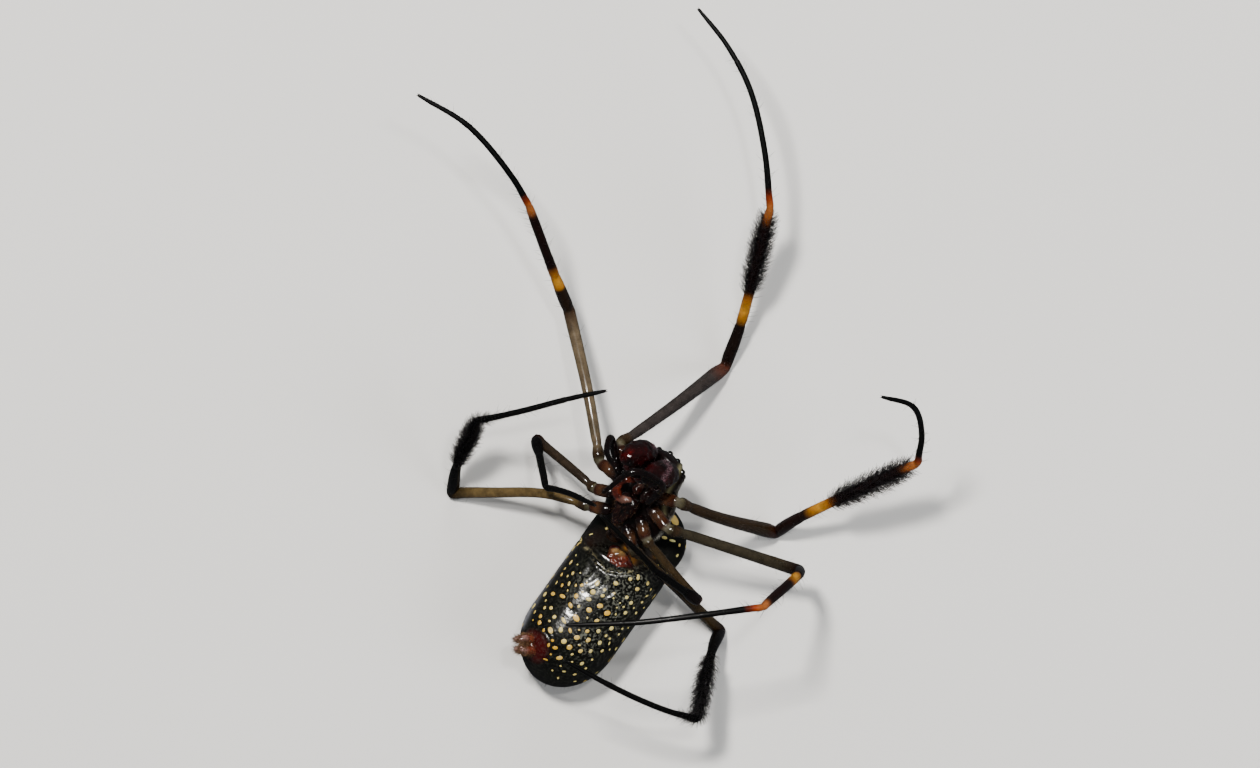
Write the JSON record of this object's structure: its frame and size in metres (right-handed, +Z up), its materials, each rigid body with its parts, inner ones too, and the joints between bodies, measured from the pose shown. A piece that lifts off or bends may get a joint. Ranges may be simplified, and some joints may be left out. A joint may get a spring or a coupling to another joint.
{
  "type": "golden silk orb weaver spider",
  "caption": "Still life-size spider lying on its back, belly up, with a long spotted abdomen and long legs with bristle brushes.",
  "frame": {"origin": "the middle of the footprint, on the floor that the back of the abdomen and the knees rest on", "axes": "+Z up out of the belly, +Y to the top of the picture along the longest leg, +X to its right"},
  "size_m": [0.0473, 0.0669, 0.0241],
  "materials": {
    "abdomen_skin": "glossy dark olive-black skin with many cream and yellow spots",
    "spinneret_skin": "red-brown satin skin, paler at the tips",
    "joint_skin": "amber translucent-looking skin",
    "carapace_shell": "dark shell under short silvery hair",
    "sternum_shell": "dark brown shell",
    "mouth_skin": "orange-red satin",
    "jaw_shell": "wet wine-red to black gloss",
    "foot_shell": "glossy black",
    "eye_lens": "black clear gloss",
    "femur_shell": "glossy olive-brown shell with fine pale hair",
    "brush_shell": "dark shell with an amber band and a dense black brush of bristles"
  },
  "bodies": {
    "root": {"abdomen": "abdomen_skin", "cephalothorax": "carapace_shell", "chelicera_left": "jaw_shell", "chelicera_right": "jaw_shell", "coxa_left_1": "joint_skin", "coxa_left_2": "joint_skin", "coxa_left_3": "joint_skin", "coxa_left_4": "joint_skin", "coxa_right_1": "joint_skin", "coxa_right_2": "joint_skin", "coxa_right_3": "joint_skin", "coxa_right_4": "joint_skin", "eye_front_lateral_left": "eye_lens", "eye_front_lateral_right": "eye_lens", "eye_front_median_left": "eye_lens", "eye_front_median_right": "eye_lens", "eye_rear_lateral_left": "eye_lens", "eye_rear_lateral_right": "eye_lens", "eye_rear_median_left": "eye_lens", "eye_rear_median_right": "eye_lens", "femur_left_1": "femur_shell", "femur_left_2": "femur_shell", "femur_left_3": "femur_shell", "femur_left_4": "femur_shell", "femur_right_1": "femur_shell", "femur_right_2": "femur_shell", "femur_right_3": "femur_shell", "femur_right_4": "femur_shell", "labium": "mouth_skin", "maxilla_left": "mouth_skin", "maxilla_right": "mouth_skin", "metatarsus_left_1": "foot_shell", "metatarsus_left_2": "foot_shell", "metatarsus_left_3": "foot_shell", "metatarsus_left_4": "foot_shell", "metatarsus_right_1": "foot_shell", "metatarsus_right_2": "foot_shell", "metatarsus_right_3": "foot_shell", "metatarsus_right_4": "foot_shell", "palp_left": "foot_shell", "palp_right": "foot_shell", "pedicel": "joint_skin", "spinnerets": "spinneret_skin", "sternum": "sternum_shell", "tibia_left_1": "brush_shell", "tibia_left_2": "brush_shell", "tibia_left_3": "brush_shell", "tibia_left_4": "brush_shell", "tibia_right_1": "brush_shell", "tibia_right_2": "brush_shell", "tibia_right_3": "brush_shell", "tibia_right_4": "brush_shell"}
  },
  "joints": []
}
